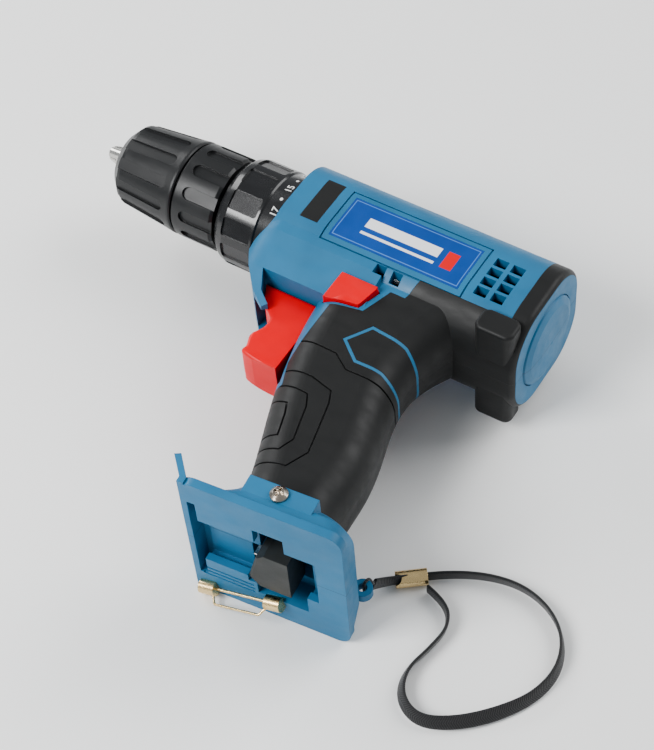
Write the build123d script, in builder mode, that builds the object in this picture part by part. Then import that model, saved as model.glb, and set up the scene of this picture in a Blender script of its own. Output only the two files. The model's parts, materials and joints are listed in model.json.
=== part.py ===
"""Cordless drill driver lying on its right side, with its battery taken off.

Frame: the origin is the centre of the chuck's mouth on the spindle axis.
+X runs along the spindle towards the rear, +Y is the drill's top, +Z its left side, which faces up.
"""
from build123d import *
from math import cos, pi, radians, sin, tan
import os

# ---- driving dimensions, mm ----
# barrel and housing
BARREL_FRONT = 98.0
BARREL_REAR = 216.0
BARREL_HALF_HEIGHT = 27.5
BARREL_HALF_WIDTH = 26.5
BARREL_CORNER = 20.0
EDGE_R = 2.5
RUBBER = 1.8
CAVITY_INSET = 4.4
FRONT_WALL = 3.0
REAR_WALL = 5.0
# handle stations: height, front, rear, half width
HANDLE_STATIONS = (
    (-8.0, 128.0, 193.0, 24.0),
    (-36.0, 129.5, 185.0, 19.0),
    (-55.0, 131.5, 182.0, 17.5),
    (-73.0, 135.5, 185.5, 17.0),
    (-100.0, 145.0, 191.5, 17.5),
    (-134.0, 155.7, 199.8, 20.0),
)
HANDLE_CORNER = 14.0
# nose stations: height, half width
NOSE_STATIONS = ((2.0, 26.5), (-20.0, 24.5), (-36.0, 18.5), (-52.0, 12.0))
NOSE_CORNER = 10.0
NOSE_OUTLINE = (
    (98.0, 2.0), (97.0, -20.0), (92.0, -27.0), (98.5, -37.0), (106.0, -45.5), (112.5, -50.0),
    (114.5, -48.0), (109.0, -44.0), (105.0, -36.0), (152.0, -36.0), (152.0, 2.0),
)
# rubber overmould and its raised or sunk detail, seen from the side
GRIP_OUTLINE = (
    (230.0, 40.0), (208.0, 40.0), (208.0, -15.5), (167.0, -15.5), (164.5, -23.5), (158.0, -23.5),
    (152.5, -36.0), (138.5, -38.5), (137.0, -57.0), (137.0, -68.0), (141.5, -79.0), (120.0, -90.0),
    (120.0, -140.0), (230.0, -140.0),
)
INLAY_OUTLINE = ((196.0, -49.5), (184.0, -45.0), (176.5, -41.8), (160.0, -40.4), (152.4, -51.0),
                 (162.0, -58.6), (174.0, -58.2), (184.0, -60.4), (196.0, -62.5))
INLAY_WIDTH = 1.3
INLAY_REAR = 187.0
GROOVE_WIDTH = 0.7
GROOVE_DEPTH = 0.8
PAD_OUTLINES = (
    ((130.0, -72.5), (151.6, -72.0), (161.8, -74.3), (164.4, -80.0), (170.2, -104.0), (166.2, -113.8),
     (140.0, -119.0)),
    ((130.0, -79.0), (154.6, -79.9), (157.6, -85.5), (162.0, -101.6), (159.5, -108.3), (140.0, -112.0)),
    ((130.0, -86.0), (149.7, -87.0), (152.0, -92.0), (155.2, -102.4), (140.0, -106.0)),
)
SEAM_LINE = ((120.0, -57.2), (153.7, -57.9), (161.2, -62.8), (176.5, -62.3), (230.0, -68.0))
BUMPER_BOX = ((197.0, -27.2, 8.0), (214.0, -16.2, 27.8))
# side details of the blue shell
LABEL_BOX = (122.5, 182.5, -13.0, 9.0)
LABEL_DEPTH = 1.0
LABEL_GROOVE_GAP = 2.2
INSERT_BOX = (107.0, 115.5, -10.5, 12.5)
INSERT_DEPTH = 1.3
VENT_COLUMNS = (191.5, 199.0)
VENT_ROWS = 4
VENT_TOP = 6.4
VENT_PITCH = 5.4
VENT_LENGTH = 5.4
VENT_HEIGHT = 4.1
WINDOW_COLUMNS = (149.9, 157.4)
WINDOW_Y = -18.3
WINDOW_SIZE = 4.4
LEVER_OUTLINE = ((137.0, -26.0), (154.0, -26.0), (150.0, -35.3), (134.7, -37.6))
LEVER_PLAY = 0.35
LEVER_PROUD = 1.6
# housing screws: x, y
SCREW_PLACES = ((103.5, -27.0), (124.0, -28.5), (176.0, -34.0), (205.0, -19.0), (149.0, -76.0),
                (186.0, -108.0))
SCREW_R = 1.4
SCREW_HEAD_R = 2.9
SCREW_HEIGHT = 12.0
BOSS_R = 3.6
# chuck
NOSE_R = 7.0
BIT_R = 5.1
CHUCK_BODY_R = 15.5
SLEEVE_FRONT = 9.5
SLEEVE_REAR = 45.0
REAR_SLEEVE_FRONT = 45.8
REAR_SLEEVE_REAR = 66.5
SLEEVE_R = 21.2
FLUTES = 12
FLUTE_WIDTH = 5.0
FLUTE_DEPTH = 1.2
SLEEVE_FLUTE_R = 16.0
JAWS = 3
JAW_R = 2.4
JAW_BORE_PLAY = 0.1
JAW_ANGLE = 17.0
JAW_LENGTH = 27.0
JAW_START_R = 1.0
JAW_GAP = 0.12
JAW_THROAT_R = 0.8
NUT_FRONT = 24.5
NUT_REAR = 29.5
# torque ring and clutch
RING_FRONT = 69.0
RING_REAR = 96.8
RING_R = 24.0
RING_BORE_R = 20.8
CLUTCH_BALLS = 6
CLUTCH_R = 15.7
BALL_R = 2.0
SPRING_TURNS = 5
# gearing
MODULE = 0.75
SUN_TEETH = 12
PLANET_TEETH = 15
INNER_RING_TEETH = 42
PLANETS = 3
CENTRE_DISTANCE = MODULE * (SUN_TEETH + PLANET_TEETH) / 2
ADDENDUM = 0.85 * MODULE
DEDENDUM = 1.2 * MODULE
TOOTH_SHARE = 0.38
CASE_R = 20.5
CASE_BORE_R = 19.0
RING_GEAR_R = 18.8
SPINDLE_R = 5.0
PIN_R = 1.75
CARRIER_R = 14.5
# motor
CAN_R = 18.0
CAN_FRONT = 133.5
CAN_REAR = 186.0
SHAFT_R = 1.6
STACK_R = 13.6
RUNNING_PLAY = 0.05
# trigger and switch
TRIGGER_HALF_WIDTH = 10.0
SWITCH_BOX = ((141.5, -65.0, -9.5), (172.0, -39.0, 9.5))
ROD_R = 2.2
# lamp in the prow
LAMP_CENTRE = (95.25, -32.0)
LAMP_R = 2.6
# selector on top
SELECTOR_X = 136.0
SELECTOR_LENGTH = 11.0
# rear cap
CAP_R = 20.0
# battery mount, in its own tilted frame: u along the rails, v towards the barrel
FOOT_TILT = 6.0
FOOT_ORIGIN = (166.0, -126.0, 0.0)
FOOT_HALF_WIDTH = 36.0
FOOT_FRONT = -25.5
FOOT_REAR = 41.0
FOOT_RIM = -20.0
PLATE_TOP = -16.3
SKIRT_MIDDLE = -10.0
SKIRT_TOP = -3.0
LIP_OUTLINE = ((-25.5, -20.0), (-22.8, -20.0), (-22.8, -17.2), (-29.6, -8.4), (-32.0, -9.6), (-25.5, -17.6))
BAY_HALF_WIDTH = 13.2
BAY_FLOOR = -13.5
BAY_ROOF = -11.6
WELL_ROOF = -9.0
GROOVE_FLOOR = -16.8
TAB_FRONT = -3.2
TAB_REAR = 25.0
TAB_LOW = -14.8
TAB_HIGH = -4.8
TAB_HALF_WIDTH = 33.0
MOUNT_SCREW = (10.6, -8.8)
BLOCK_OUTLINE = ((-0.5, -12.0), (3.5, 2.5), (7.5, 6.5), (17.5, 6.5), (17.5, -16.0), (3.0, -16.0))
BLOCK_FACE = -20.8
BLADE_PLACES = (-10.0, -4.0, 1.5)
FLOOR_Z = -FOOT_HALF_WIDTH
# wrist strap and its eye
EYE_CENTRE = (205.0, -125.5)
STRAP_WIDTH = 5.0
FERRULE_HEIGHT = 6.2
STRAP_Z = FLOOR_Z + FERRULE_HEIGHT / 2 + 0.1
STRAP_ROUTE = (
    (205.8, -119.6, -25.6), (207.4, -113.8, -30.6), (213.0, -107.5, STRAP_Z), (226.0, -97.5, STRAP_Z),
    (240.0, -90.5, STRAP_Z), (254.5, -88.0, STRAP_Z), (268.5, -92.0, STRAP_Z),
    (278.5, -101.0, STRAP_Z), (283.0, -113.5, STRAP_Z), (280.5, -127.5, STRAP_Z),
    (271.5, -141.0, STRAP_Z), (260.0, -152.0, STRAP_Z), (247.5, -158.0, STRAP_Z),
    (237.0, -153.0, STRAP_Z), (233.0, -142.0, STRAP_Z), (236.5, -129.5, STRAP_Z),
    (238.0, -118.0, STRAP_Z), (232.5, -109.5, STRAP_Z), (222.5, -107.0, STRAP_Z),
)


# ---- planes and plain solids ----
def level(y):
    """Plane square to the handle at height y, sketch x along +X and sketch y along +Z."""
    return Plane(origin=(0, y, 0), x_dir=(1, 0, 0), z_dir=(0, -1, 0))


def section(x):
    """Plane square to the spindle at x, sketch x along +Y and sketch y along +Z."""
    return Plane.YZ.offset(x)


def foot_plane(z=0.0):
    """Side plane of the tilted battery mount at height z."""
    tilt = radians(FOOT_TILT)
    origin = (FOOT_ORIGIN[0], FOOT_ORIGIN[1], z)
    return Plane(origin=origin, x_dir=(cos(tilt), sin(tilt), 0), z_dir=(0, 0, 1))


def foot_level(v):
    """Plane parallel to the battery mount's rim, v above its origin, facing the battery."""
    tilt = radians(FOOT_TILT)
    origin = Vector(*FOOT_ORIGIN) + Vector(-sin(tilt), cos(tilt), 0) * v
    return Plane(origin=origin, x_dir=(cos(tilt), sin(tilt), 0), z_dir=(sin(tilt), -cos(tilt), 0))


def turned(points):
    """Solid of revolution about the spindle axis from (x, radius) corners."""
    with BuildPart() as solid:
        with BuildSketch(Plane.XY):
            with BuildLine():
                Polyline(*points, close=True)
            make_face()
        revolve(axis=Axis.X)
    return solid.part


def tube(x0, x1, r_in, r_out):
    """Plain ring or, with no bore, a plain disc about the spindle axis."""
    return turned([(x0, r_in), (x0, r_out), (x1, r_out), (x1, r_in)])


def prism(points, low_z=-60.0, high_z=60.0):
    """Straight prism of a side outline."""
    with BuildPart() as solid:
        with BuildSketch(Plane.XY.offset(low_z)):
            with BuildLine():
                Polyline(*points, close=True)
            make_face()
        extrude(amount=high_z - low_z)
    return solid.part


def block(low, high):
    """Axis-aligned block from its lowest to its highest corner."""
    size = [b - a for a, b in zip(low, high)]
    middle = tuple((a + b) / 2 for a, b in zip(low, high))
    with BuildPart() as solid:
        with Locations(middle):
            Box(*size)
    return solid.part


def rod(start, end, radius):
    """Round bar between two points."""
    path = Vector(*end) - Vector(*start)
    with BuildPart() as solid:
        with BuildSketch(Plane(origin=Vector(*start), z_dir=path)):
            Circle(radius)
        extrude(amount=path.length)
    return solid.part


def bent_wire(points, radius, bend):
    """Round wire along straight runs joined by tangent arcs."""
    with BuildPart() as solid:
        with BuildLine() as path:
            FilletPolyline(*points, radius=bend)
        with BuildSketch(Plane(origin=path.line @ 0, z_dir=path.line % 0)):
            Circle(radius)
        sweep(path=path.line)
    return solid.part


def rectangle(x0, x1, y0, y1):
    """Corners of an upright rectangle in side view."""
    return ((x0, y0), (x1, y0), (x1, y1), (x0, y1))


def cut(part, *tools):
    """Part less every tool."""
    with BuildPart() as solid:
        add(part)
        for tool in tools:
            add(tool, mode=Mode.SUBTRACT)
    return solid.part


def joined(*parts):
    """Several solids in one piece, or in one group where they stand apart."""
    with BuildPart() as solid:
        for part in parts:
            add(part)
    return solid.part


def common(part, *others):
    """What a part shares with every other solid."""
    with BuildPart() as solid:
        add(part)
        for other in others:
            add(other, mode=Mode.INTERSECT)
    return solid.part


def half(part, side):
    """Left (+1) or right (-1) half of a solid that straddles the split plane."""
    with BuildPart() as solid:
        add(part)
        split(bisect_by=Plane.XY, keep=Keep.TOP if side > 0 else Keep.BOTTOM)
    return solid.part


def save(part, label):
    """Label one finished piece and write its STEP file."""
    part.label = label
    export_step(part, f"parts/{label}.step")


# ---- body shape ----
def barrel_shape(inset, front=BARREL_FRONT, rear=BARREL_REAR, edge=0.0):
    """Barrel of the housing, its sides moved in by inset."""
    with BuildPart() as barrel:
        with BuildSketch(section(front)):
            RectangleRounded(2 * (BARREL_HALF_HEIGHT - inset), 2 * (BARREL_HALF_WIDTH - inset),
                             BARREL_CORNER - inset)
        extrude(amount=rear - front)
        if edge:
            fillet(barrel.edges().group_by(Axis.X)[-1], edge)
    return barrel.part


def nose_shape(inset):
    """Prow under the barrel, in front of and above the trigger."""
    with BuildPart() as nose:
        for y, half_width in NOSE_STATIONS:
            with BuildSketch(level(y)):
                with Locations((152, 0)):
                    RectangleRounded(2 * (60 - inset), 2 * (half_width - inset), NOSE_CORNER - inset)
        loft(ruled=True)
        with BuildSketch(Plane.XY.offset(-40), mode=Mode.PRIVATE) as side:
            with BuildLine():
                Polyline(*NOSE_OUTLINE, close=True)
            make_face()
            if inset:
                offset(amount=-inset, kind=Kind.INTERSECTION)
        extrude(side.sketch, amount=80, mode=Mode.INTERSECT)
    return nose.part


def handle_shape(inset):
    """Pistol grip from the barrel to the battery mount."""
    with BuildPart() as handle:
        for y, front, rear, half_width in HANDLE_STATIONS:
            with BuildSketch(level(y)):
                with Locations(((front + rear) / 2, 0)):
                    RectangleRounded(rear - front - 2 * inset, 2 * (half_width - inset),
                                     HANDLE_CORNER - inset)
        loft()
    return handle.part


def body_shape(inset, edge=0.0):
    """Whole outside of the drill's body, its sides moved in by inset."""
    return joined(barrel_shape(inset, edge=edge), nose_shape(inset), handle_shape(inset))


def cavity_shape():
    """Space inside the housing."""
    barrel = barrel_shape(CAVITY_INSET, BARREL_FRONT + FRONT_WALL, BARREL_REAR - REAR_WALL)
    return joined(barrel, nose_shape(CAVITY_INSET), handle_shape(CAVITY_INSET))


def skin(outline, depth, outer):
    """Layer of the body's surface of one depth, within a side outline."""
    return cut(common(outer, prism(outline)), body_shape(depth))


def jaw_axis(index):
    """Start point and direction, front to back, of one jaw."""
    turn = 2 * pi * index / JAWS
    lean = radians(JAW_ANGLE)
    start = Vector(0, JAW_START_R * cos(turn), JAW_START_R * sin(turn))
    direction = Vector(cos(lean), sin(lean) * cos(turn), sin(lean) * sin(turn))
    return start, direction


# ---- housing ----
def vent_cuts():
    """Vents and sight windows, right through both sides."""
    with BuildPart() as cuts:
        with BuildSketch(Plane.XY.offset(-60)):
            for x in VENT_COLUMNS:
                for row in range(VENT_ROWS):
                    with Locations((x, VENT_TOP - row * VENT_PITCH)):
                        Rectangle(VENT_LENGTH, VENT_HEIGHT)
            for x in WINDOW_COLUMNS:
                with Locations((x, WINDOW_Y)):
                    Rectangle(WINDOW_SIZE, WINDOW_SIZE)
        extrude(amount=120)
    return cuts.part


def lever_prism(play):
    """Prism of the reversing lever's outline, grown by play."""
    with BuildPart() as solid:
        with BuildSketch(Plane.XY.offset(-60)):
            with BuildLine():
                Polyline(*LEVER_OUTLINE, close=True)
            make_face()
            if play:
                offset(amount=play, kind=Kind.INTERSECTION)
        extrude(amount=120)
    return solid.part


def lamp_bore(radius, depth, proud=0.0):
    """Cylinder square to the prow's lower face, from its surface inwards."""
    (x0, y0), (x1, y1) = NOSE_OUTLINE[2], NOSE_OUTLINE[3]
    inward = Vector(y0 - y1, x1 - x0, 0).normalized()
    start = Vector(*LAMP_CENTRE, 0) - inward * proud
    return rod(start, start + inward * (depth + proud), radius)


def housing(outer):
    """Both halves of the clamshell before they are split."""
    shell = cut(joined(cut(outer, prism(GRIP_OUTLINE)), body_shape(RUBBER)), cavity_shape())
    return cut(
        joined(shell, screw_bosses()),
        tube(BARREL_FRONT - 10, BARREL_FRONT - 0.6, 0, RING_R + 0.9),
        tube(BARREL_FRONT - 8, BARREL_FRONT + 6, 0, CASE_R + 0.1),
        tube(BARREL_REAR - REAR_WALL - 1, BARREL_REAR + 1, 0, CAP_R),
        trigger_slot(),
        block((SELECTOR_X - 9.0, 20.0, -5.0), (SELECTOR_X + 14.5, 40.0, 5.0)),
        vent_cuts(),
        lever_prism(LEVER_PLAY),
        skin(rectangle(*LABEL_BOX), LABEL_DEPTH, outer),
        label_groove(),
        skin(rectangle(*INSERT_BOX), INSERT_DEPTH, outer),
        lamp_bore(LAMP_R, 9.0, 1.0),
        screw_cuts(),
    )


def label_groove():
    """Shallow groove that frames the label on both sides."""
    x0, x1, y0, y1 = LABEL_BOX
    gap = LABEL_GROOVE_GAP
    wide = gap + GROOVE_WIDTH
    ring = cut(prism(rectangle(x0 - wide, x1 + wide, y0 - wide, y1 + wide)),
               prism(rectangle(x0 - gap, x1 + gap, y0 - gap, y1 + gap), -61.0, 61.0))
    return cut(common(ring, body_shape(-0.5)), body_shape(GROOVE_DEPTH))


def trigger_slot():
    """Space that the trigger moves in."""
    half_slot = TRIGGER_HALF_WIDTH + 0.5
    return block((105.0, -77.0, -half_slot), (143.0, -36.0, half_slot))


def screw_cuts():
    """Counterbored holes for the housing screws, which go in from the right."""
    with BuildPart() as cuts:
        for x, y in SCREW_PLACES:
            with Locations((x, y, 0)):
                Cylinder(SCREW_R, 2 * SCREW_HEIGHT)
            with Locations((x, y, -SCREW_HEIGHT)):
                Cylinder(SCREW_HEAD_R, 40, align=(Align.CENTER, Align.CENTER, Align.MAX))
    return cuts.part


def screw_bosses():
    """Posts inside the shell that the housing screws go through."""
    with BuildPart() as bosses:
        for x, y in SCREW_PLACES:
            with Locations((x, y, 0)):
                Cylinder(BOSS_R, 60)
        add(body_shape(RUBBER), mode=Mode.INTERSECT)
    return bosses.part


def housing_screws():
    """Self-tapping screws of the clamshell, with cross recesses."""
    with BuildPart() as screws:
        for x, y in SCREW_PLACES:
            with Locations((x, y, 0)):
                Cylinder(SCREW_R, 2 * SCREW_HEIGHT)
            with Locations((x, y, -SCREW_HEIGHT)):
                Cylinder(SCREW_HEAD_R, 2.2, align=(Align.CENTER, Align.CENTER, Align.MAX))
            with Locations((x, y, -SCREW_HEIGHT - 1.6)):
                Box(3.4, 0.8, 1.4, mode=Mode.SUBTRACT)
                Box(0.8, 3.4, 1.4, mode=Mode.SUBTRACT)
    return screws.part


def inlay_ring():
    """Ring prism of the grip's angular inlay, open towards the rear."""
    with BuildPart() as ring:
        with BuildSketch(Plane.XY):
            with BuildLine():
                Polyline(*INLAY_OUTLINE, close=True)
            make_face()
            offset(amount=-INLAY_WIDTH, kind=Kind.INTERSECTION, mode=Mode.SUBTRACT)
        extrude(amount=60, both=True)
    return cut(ring.part, prism(rectangle(INLAY_REAR, 230.0, -80.0, -30.0)))


def bumper(side):
    """Raised block at the lower rear corner of the barrel."""
    (x0, y0, z0), (x1, y1, z1) = BUMPER_BOX
    with BuildPart() as solid:
        add(block((x0, y0, z0), (x1, y1, z1)))
        fillet(solid.edges().filter_by(Axis.Z), 3.5)
        fillet(solid.edges().group_by(Axis.Z)[-1], 1.5)
        if side < 0:
            mirror(about=Plane.XY, mode=Mode.REPLACE)
    return solid.part


def grip_grooves():
    """Prisms of the grooves that follow the grip's pads and seam."""
    lower = [(x, y - GROOVE_WIDTH) for x, y in reversed(SEAM_LINE)]
    rings = [prism((*SEAM_LINE, *lower))]
    for outline in PAD_OUTLINES:
        with BuildPart() as ring:
            with BuildSketch(Plane.XY):
                with BuildLine():
                    Polyline(*outline, close=True)
                make_face()
                offset(amount=-GROOVE_WIDTH, kind=Kind.INTERSECTION, mode=Mode.SUBTRACT)
            extrude(amount=60, both=True)
        rings.append(ring.part)
    return joined(*rings)


def grip(outer, side):
    """One half of the rubber overmould."""
    core = body_shape(RUBBER)
    grooves = cut(common(grip_grooves(), body_shape(-0.5)), body_shape(GROOVE_DEPTH))
    layer = cut(common(outer, prism(GRIP_OUTLINE)), core, inlay_ring(), grooves, foot_clearance(),
                screw_cuts(), trigger_slot())
    rubber = joined(half(layer, side), cut(bumper(side), core))
    return cut(rubber, tube(BARREL_REAR - 1, BARREL_REAR + 4, 0, CAP_R + 1.5))


def foot_clearance():
    """Everything below the battery mount's upper face."""
    with BuildPart() as solid:
        with BuildSketch(foot_level(SKIRT_TOP)):
            Rectangle(200, 120)
        extrude(amount=60)
    return solid.part


def inlay(outer):
    """Blue line moulded into the grip, one on each side."""
    return cut(common(outer, inlay_ring()), body_shape(RUBBER))


# ---- gears ----
def gear_outline(teeth, root_r, tip_r, share):
    """Sketch of a gear with straight-flanked teeth, the first one on the sketch's x axis."""
    pitch_r = MODULE * teeth / 2
    pitch_angle = 2 * pi / teeth
    half_pitch = share * pitch_angle / 2
    half_root = half_pitch + tan(radians(20)) * abs(pitch_r - root_r) / pitch_r
    half_tip = half_pitch - tan(radians(20)) * abs(tip_r - pitch_r) / pitch_r
    with BuildSketch() as outline:
        Circle(min(root_r, tip_r) if root_r < tip_r else root_r)
        with BuildSketch(mode=Mode.PRIVATE) as tooth:
            with BuildLine():
                Polyline(
                    (0.98 * root_r * cos(half_root), 0.98 * root_r * sin(half_root)),
                    (root_r * cos(half_root), root_r * sin(half_root)),
                    (tip_r * cos(half_tip), tip_r * sin(half_tip)),
                    (tip_r * cos(half_tip), -tip_r * sin(half_tip)),
                    (root_r * cos(half_root), -root_r * sin(half_root)),
                    (0.98 * root_r * cos(half_root), -0.98 * root_r * sin(half_root)),
                    close=True,
                )
            make_face()
        with PolarLocations(0, teeth):
            add(tooth.sketch)
    return outline.sketch


def spur_gear(teeth, x0, x1, bore_r, centre=(0.0, 0.0), turn=0.0):
    """External gear about an axis parallel to the spindle."""
    pitch_r = MODULE * teeth / 2
    outline = gear_outline(teeth, pitch_r - DEDENDUM, pitch_r + ADDENDUM, TOOTH_SHARE)
    plane = Plane(origin=(x0, *centre), x_dir=(0, cos(turn), sin(turn)), z_dir=(1, 0, 0))
    with BuildPart() as gear:
        with BuildSketch(plane):
            add(outline)
            Circle(bore_r, mode=Mode.SUBTRACT)
        extrude(amount=x1 - x0)
    return gear.part


def ring_gear(x0, x1):
    """Internal gear with a gap on every planet's line."""
    pitch_r = MODULE * INNER_RING_TEETH / 2
    pitch_angle = 2 * pi / INNER_RING_TEETH
    root_r = pitch_r + DEDENDUM
    tip_r = pitch_r - ADDENDUM
    half_root = TOOTH_SHARE * pitch_angle / 2 + tan(radians(20)) * DEDENDUM / pitch_r
    half_tip = TOOTH_SHARE * pitch_angle / 2 - tan(radians(20)) * ADDENDUM / pitch_r
    with BuildPart() as gear:
        with BuildSketch(section(x0)):
            Circle(RING_GEAR_R)
            Circle(root_r, mode=Mode.SUBTRACT)
            with BuildSketch(mode=Mode.PRIVATE) as tooth:
                with BuildLine():
                    Polyline(
                        (root_r * 1.02 * cos(half_root), root_r * 1.02 * sin(half_root)),
                        (tip_r * cos(half_tip), tip_r * sin(half_tip)),
                        (tip_r * cos(half_tip), -tip_r * sin(half_tip)),
                        (root_r * 1.02 * cos(half_root), -root_r * 1.02 * sin(half_root)),
                        close=True,
                    )
                make_face()
            with PolarLocations(0, INNER_RING_TEETH, start_angle=180 / INNER_RING_TEETH):
                add(tooth.sketch)
        extrude(amount=x1 - x0)
    return gear.part


def planet_centre(index):
    """Centre of one planet in the plane square to the spindle."""
    turn = 2 * pi * index / PLANETS
    return CENTRE_DISTANCE * cos(turn), CENTRE_DISTANCE * sin(turn)


def planet(index, x0, x1):
    """One planet wheel, a tooth pointing outwards."""
    return spur_gear(PLANET_TEETH, x0, x1, PIN_R + RUNNING_PLAY, planet_centre(index),
                     2 * pi * index / PLANETS)


def pins(x0, x1):
    """Planet pins of one carrier."""
    bars = []
    for index in range(PLANETS):
        y, z = planet_centre(index)
        bars.append(rod((x0, y, z), (x1, y, z), PIN_R))
    return joined(*bars)


def output_carrier():
    """Carrier plate of the second stage, keyed on the spindle."""
    return joined(tube(100.5, 103.0, SPINDLE_R, CARRIER_R), pins(102.5, 110.4))


def first_carrier():
    """Carrier of the first stage with the second stage's sun wheel."""
    return joined(tube(111.3, 113.6, 0, CARRIER_R), pins(113.2, 121.0),
                  spur_gear(SUN_TEETH, 103.6, 111.5, 1.2))


# ---- chuck ----
def spindle():
    """Output shaft: threaded end in the chuck, collar, and hub in the carrier."""
    with BuildPart() as shaft:
        add(turned([(46.0, 0), (46.0, 4.4), (46.6, SPINDLE_R), (67.2, SPINDLE_R), (67.2, 8.0),
                    (69.4, 8.0), (69.4, SPINDLE_R), (103.0, SPINDLE_R), (103.0, 0)]))
        add(tube(45.9, 60.0, 0, 2.5), mode=Mode.SUBTRACT)
    return shaft.part


def chuck_body():
    """Steel body of the chuck with its three slanted jaw bores."""
    with BuildPart() as body:
        add(turned([
            (SLEEVE_FRONT - 0.5, BIT_R), (SLEEVE_FRONT - 0.5, NOSE_R - 0.6), (SLEEVE_FRONT + 0.1, NOSE_R),
            (12.7, NOSE_R), (13.5, 10.2), (18.0, CHUCK_BODY_R), (NUT_FRONT - 0.2, CHUCK_BODY_R),
            (NUT_FRONT - 0.2, 12.5), (NUT_REAR + 0.2, 12.5), (NUT_REAR + 0.2, CHUCK_BODY_R),
            (60.0, CHUCK_BODY_R), (64.0, 12.0), (66.8, 12.0), (66.8, SPINDLE_R), (46.0, SPINDLE_R),
            (43.5, 2.6), (39.0, 2.6), (39.0, BIT_R),
        ]))
        for index in range(JAWS):
            start, direction = jaw_axis(index)
            front = start - direction * 3
            back = start + direction * 47
            add(rod(front, back, JAW_R + JAW_BORE_PLAY), mode=Mode.SUBTRACT)
    return body.part


def jaw(index):
    """One jaw: a slanted rod whose flat gripping faces meet those of the others on the axis."""
    start, direction = jaw_axis(index)
    bar = rod(start - direction * 3, start + direction * JAW_LENGTH, JAW_R)
    spread = pi / JAWS
    turn = 2 * pi * index / JAWS
    reach = 40.0
    tip_r = JAW_GAP / sin(spread)
    corners = [(tip_r * cos(turn), tip_r * sin(turn))]
    for angle in (turn + spread, turn, turn - spread):
        corners.append((tip_r * cos(turn) + reach * cos(angle), tip_r * sin(turn) + reach * sin(angle)))
    with BuildPart() as wedge:
        with BuildSketch(Plane.YZ):
            with BuildLine():
                Polyline(*corners, close=True)
            make_face()
        extrude(amount=reach)
    return cut(common(bar, wedge.part), tube(-1.0, 12.0, 0, JAW_THROAT_R))


def sleeve_flutes(x0, x1, r_floor, width, lean=0.0):
    """Round-ended grooves cut into a sleeve, their floors rising to the rear by the angle lean."""
    grooves = []
    rise = radians(lean)
    for index in range(FLUTES):
        turn = 2 * pi * (index + 0.5) / FLUTES
        outward = Vector(0, cos(turn), sin(turn))
        along = Vector(cos(rise), 0, 0) + outward * sin(rise)
        normal = outward * cos(rise) - Vector(sin(rise), 0, 0)
        with BuildPart() as groove:
            with BuildSketch(Plane(origin=outward * r_floor, x_dir=along, z_dir=normal)):
                with Locations(((x0 + x1) / 2, 0)):
                    SlotOverall(x1 - x0, width)
            extrude(amount=12)
        grooves.append(groove.part)
    return joined(*grooves)


def chuck_sleeve():
    """Front sleeve of the chuck, which is turned to open and close the jaws."""
    shell = turned([
        (SLEEVE_FRONT, NOSE_R + 0.35), (SLEEVE_FRONT, 10.5), (10.8, 13.6), (15.0, 18.0), (16.5, 18.5),
        (40.0, 20.7), (43.5, SLEEVE_R), (44.4, SLEEVE_R), (SLEEVE_REAR, SLEEVE_R - 0.6),
        (SLEEVE_REAR, 17.3), (NUT_FRONT - 1, 17.3), (NUT_FRONT - 1, 15.85), (17.4, 15.85), (12.2, 10.9),
        (12.2, NOSE_R + 0.35),
    ])
    return cut(shell, sleeve_flutes(9.0, 41.0, SLEEVE_FLUTE_R, FLUTE_WIDTH, lean=5.0))


def chuck_rear_sleeve():
    """Rear sleeve of the chuck, pressed on the body."""
    shell = turned([
        (REAR_SLEEVE_FRONT, CHUCK_BODY_R + 1.6), (REAR_SLEEVE_FRONT, SLEEVE_R - 0.5),
        (REAR_SLEEVE_FRONT + 0.6, SLEEVE_R), (REAR_SLEEVE_REAR - 1.2, SLEEVE_R + 0.1),
        (REAR_SLEEVE_REAR, SLEEVE_R - 1.0), (REAR_SLEEVE_REAR, 13.0), (64.6, 13.0), (62.0, CHUCK_BODY_R),
        (50.0, CHUCK_BODY_R), (50.0, CHUCK_BODY_R + 1.6),
    ])
    return cut(shell, sleeve_flutes(50.0, 75.0, SLEEVE_R - FLUTE_DEPTH, FLUTE_WIDTH + 0.6))


def jaw_nut():
    """Split threaded ring that drives the jaws, held by the front sleeve."""
    jaw_out = JAW_START_R + NUT_REAR * tan(radians(JAW_ANGLE)) + JAW_R / cos(radians(JAW_ANGLE))
    ring = tube(NUT_FRONT, NUT_REAR, jaw_out + 0.3, 17.3)
    return cut(ring, block((0, -30, -0.15), (60, 30, 0.15)))


def chuck_screw():
    """Screw down the chuck's throat that locks it on the spindle."""
    with BuildPart() as screw:
        add(turned([(36.6, 0), (36.6, 3.6), (37.6, 4.4), (39.0, 4.4), (39.0, 2.5), (60.0, 2.5), (60.0, 0)]))
        with Locations((36.6, 0, 0)):
            Box(2.4, 4.6, 1.0, mode=Mode.SUBTRACT)
            Box(2.4, 1.0, 4.6, mode=Mode.SUBTRACT)
    return screw.part


# ---- torque ring and clutch ----
def torque_ring():
    """Adjusting ring with twelve wide finger flats and a smooth band for its numbers."""
    shell = turned([
        (RING_FRONT, 12.4), (RING_FRONT, 21.6), (71.0, 23.2), (74.0, RING_R), (88.5, RING_R),
        (89.3, RING_R - 0.6), (RING_REAR, RING_R + 0.3), (RING_REAR, RING_BORE_R), (72.0, RING_BORE_R),
        (72.0, 12.4),
    ])
    flats = []
    for index in range(FLUTES):
        turn = 2 * pi * index / FLUTES
        outward = Vector(0, cos(turn), sin(turn))
        with BuildPart() as flat:
            with BuildSketch(Plane(origin=outward * (RING_R - 1.1), x_dir=(1, 0, 0), z_dir=outward)):
                with Locations((80.5, 0)):
                    RectangleRounded(14.0, 8.6, 1.2)
            extrude(amount=6)
        flats.append(flat.part)
    return cut(shell, *flats)


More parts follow.
